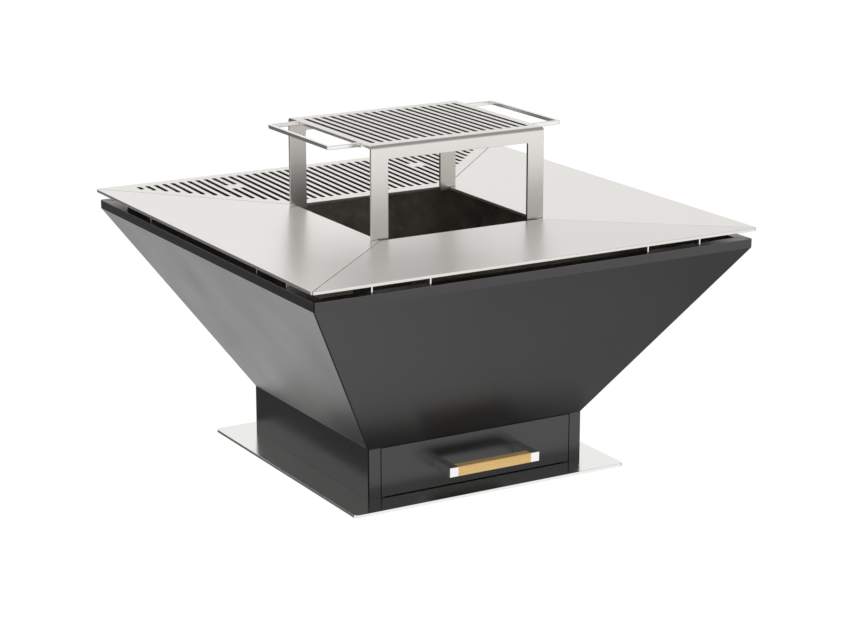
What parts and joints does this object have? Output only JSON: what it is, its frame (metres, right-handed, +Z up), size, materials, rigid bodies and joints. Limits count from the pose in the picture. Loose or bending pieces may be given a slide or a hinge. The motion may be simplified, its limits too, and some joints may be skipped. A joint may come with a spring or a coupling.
{
  "type": "fire pit with grate",
  "caption": "Square black steel fire bowl on a plinth with an ash drawer, sloping stainless cooking plates, a slotted rear grate and a raised grill table.",
  "frame": {"origin": "middle of the underside of the base plate, on the ground", "axes": "+Z up, -Y towards the ash drawer, +X to the right as seen from the drawer side"},
  "size_m": [1, 1, 0.702],
  "materials": {
    "stainless_base": "ground stainless sheet, satin",
    "stainless_plate": "brushed stainless cooking plate, satin",
    "stainless_strap": "stainless strap, mill finish",
    "stainless_table": "brushed stainless sheet and bar, satin",
    "zinc_fastener": "zinc plated steel",
    "cast_iron": "raw cast iron, rough",
    "tray_steel": "black painted sheet, sooty",
    "beech": "oiled hardwood, fine grain",
    "black_steel": "matt black heat resistant paint on steel sheet"
  },
  "bodies": {
    "root": {"base_plate": "stainless_base", "base_screws": "zinc_fastener", "base_nuts": "zinc_fastener", "plinth_left": "black_steel", "plinth_right": "black_steel", "plinth_back": "black_steel", "front_post_left": "black_steel", "front_post_right": "black_steel", "front_rail": "black_steel", "runner_left": "zinc_fastener", "runner_right": "zinc_fastener", "runner_guide_left": "zinc_fastener", "runner_guide_right": "zinc_fastener", "bowl_front": "black_steel", "bowl_right": "black_steel", "bowl_back": "black_steel", "bowl_left": "black_steel", "bowl_floor": "black_steel", "floor_bolts": "zinc_fastener", "floor_nuts": "zinc_fastener"},
    "drawer": {"drawer_tray_floor": "tray_steel", "drawer_tray_left": "tray_steel", "drawer_tray_right": "tray_steel", "drawer_tray_front": "tray_steel", "drawer_tray_back": "tray_steel", "drawer_front": "black_steel", "handle_arm_left": "stainless_table", "handle_arm_right": "stainless_table", "handle_bar": "beech", "handle_rod": "zinc_fastener", "handle_screws": "zinc_fastener"},
    "fire_grate": {"fire_grate": "cast_iron"},
    "front_plate": {"plate_front": "stainless_plate", "bracket_front_1": "stainless_strap", "bracket_front_2": "stainless_strap"},
    "rear_grate": {"grate_rear": "stainless_plate", "bracket_rear_1": "stainless_strap", "bracket_rear_2": "stainless_strap"},
    "left_plate": {"plate_left": "stainless_plate", "bracket_left_1": "stainless_strap", "bracket_left_2": "stainless_strap"},
    "right_plate": {"plate_right": "stainless_plate", "bracket_right_1": "stainless_strap", "bracket_right_2": "stainless_strap"},
    "table": {"grill_table": "stainless_table", "table_handle_left": "stainless_table", "table_handle_right": "stainless_table"}
  },
  "joints": [
    {"name": "drawer_slide", "type": "slide", "parent": "root", "child": "drawer", "axis": [0, -1, 0], "range_m": [0, 0.42]},
    {"name": "fire_grate_lift", "type": "slide", "parent": "root", "child": "fire_grate", "axis": [0, 0, 1], "range_m": [0, 0.3]},
    {"name": "front_plate_lift", "type": "slide", "parent": "root", "child": "front_plate", "axis": [0, 0, 1], "range_m": [0, 0.3]},
    {"name": "rear_grate_lift", "type": "slide", "parent": "root", "child": "rear_grate", "axis": [0, 0, 1], "range_m": [0, 0.3]},
    {"name": "side_plates_lift", "type": "slide", "parent": "root", "child": "left_plate", "axis": [0, 0, 1], "range_m": [0, 0.3]},
    {"name": "right_plate_lift", "type": "slide", "parent": "root", "child": "right_plate", "axis": [0, 0, 1], "range_m": [0, 0.3]},
    {"name": "table_lift", "type": "slide", "parent": "left_plate", "child": "table", "axis": [0, 0, 1], "range_m": [0, 0.3]}
  ],
  "couplings": [
    {"joint": "right_plate_lift", "follows": "side_plates_lift", "ratio": 1}
  ]
}
